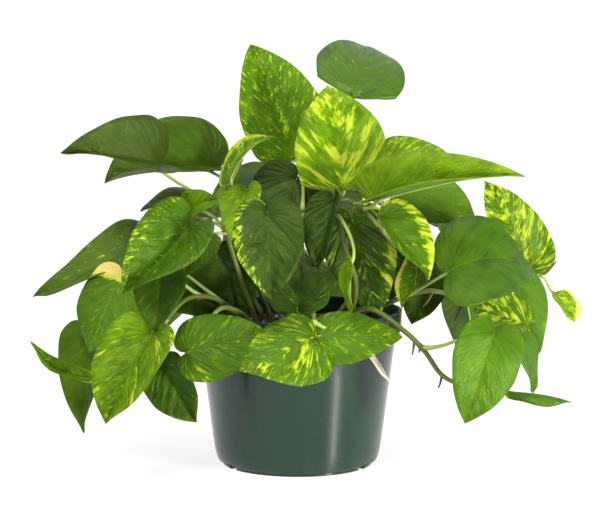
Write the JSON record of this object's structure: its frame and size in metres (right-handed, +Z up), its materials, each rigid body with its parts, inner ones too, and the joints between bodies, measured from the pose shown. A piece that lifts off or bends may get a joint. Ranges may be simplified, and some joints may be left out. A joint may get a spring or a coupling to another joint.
{
  "type": "potted pothos plant",
  "caption": "Trailing variegated pothos with heart-shaped leaves on long stalks, growing as a loose dome over a round flared plastic nursery pot with a deep collar.",
  "frame": {"origin": "centre of the pot's underside, on the surface that the pot stands on", "axes": "+Z up along the pot's axis, -Y toward the front of the plant, +X to its right as seen from the front"},
  "size_m": [0.4238, 0.3034, 0.3315],
  "materials": {
    "pot": "satin moulded polypropylene, dark green",
    "soil": "moist peat and bark potting mix",
    "plant": "living leaves, green splashed with yellow, and green-brown stems"
  },
  "bodies": {
    "root": {"pot": "pot", "soil": "soil", "vine_upper_left": "plant", "vine_mid_left": "plant", "vine_far_left": "plant", "vine_low_left": "plant", "vine_front_left": "plant", "vine_front": "plant", "vine_centre": "plant", "vine_top": "plant", "vine_arching": "plant", "vine_right": "plant", "vine_low_right": "plant", "vine_inner_right": "plant", "vine_back_left": "plant", "vine_back": "plant", "vine_back_right": "plant", "vine_side_right": "plant", "vine_side_left": "plant"}
  },
  "joints": []
}
